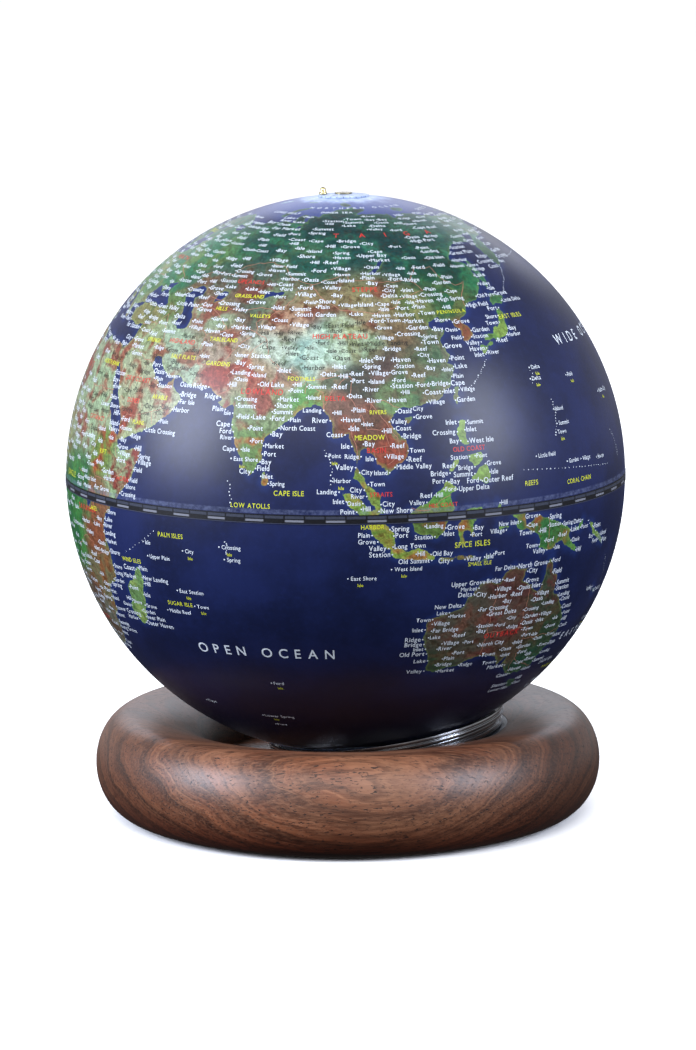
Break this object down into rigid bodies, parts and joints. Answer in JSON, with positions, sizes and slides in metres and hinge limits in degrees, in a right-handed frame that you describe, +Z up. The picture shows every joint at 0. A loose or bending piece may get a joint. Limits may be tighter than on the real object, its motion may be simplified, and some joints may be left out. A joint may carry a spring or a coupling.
{
  "type": "desktop globe",
  "caption": "Printed world globe that rests and turns in a tilted metal collar, set in the dished top of a thick round walnut ring, with a small turning hour dial at the north pole.",
  "frame": {"origin": "on the table, under the middle of the globe", "axes": "+Z up along the globe's polar axis; the collar leans from the globe's underside towards +X; -Y is the side with the Indian Ocean"},
  "size_m": [0.2004, 0.2004, 0.2254],
  "materials": {
    "walnut": "oiled satin walnut with flowing grain",
    "rubber": "matte black rubber",
    "collar_metal": "turned and polished",
    "steel": "ground",
    "brass": "polished",
    "map_print": "satin print of a relief map on a navy sea",
    "scale_strip": "satin black strip with grey scale marks",
    "inner_plastic": "plain moulded",
    "dial_print": "pale blue print with dark hour marks"
  },
  "bodies": {
    "base": {"base_ring": "walnut", "rubber_feet": "rubber", "bearing_seat": "collar_metal", "seat_screws": "steel", "lower_race": "steel", "bearing_balls": "steel", "ball_cage": "brass", "pivot_bolt": "steel", "thrust_washer": "brass", "pivot_nut": "steel"},
    "turntable": {"turntable": "collar_metal", "upper_race": "steel", "cradle_ring": "collar_metal", "cradle_pad": "rubber"},
    "globe": {"north_shell": "map_print", "south_shell": "map_print", "equator_strip": "scale_strip", "joining_ring": "inner_plastic", "axis_rod": "steel", "pole_bushes": "inner_plastic", "pole_screws": "brass"},
    "hour_dial": {"hour_dial": "dial_print", "dial_knob": "brass"}
  },
  "joints": [
    {"name": "turntable_spin", "type": "hinge", "parent": "base", "child": "turntable", "pos_m": [0, 0, 0.1225], "axis": [-0.1513, 0, 0.9885], "continuous": true},
    {"name": "globe_spin", "type": "hinge", "parent": "turntable", "child": "globe", "pos_m": [0, 0, 0.1225], "axis": [0, 0, 1], "continuous": true},
    {"name": "hour_dial_turn", "type": "hinge", "parent": "globe", "child": "hour_dial", "pos_m": [0, 0, 0.2225], "axis": [0, 0, 1], "continuous": true}
  ]
}
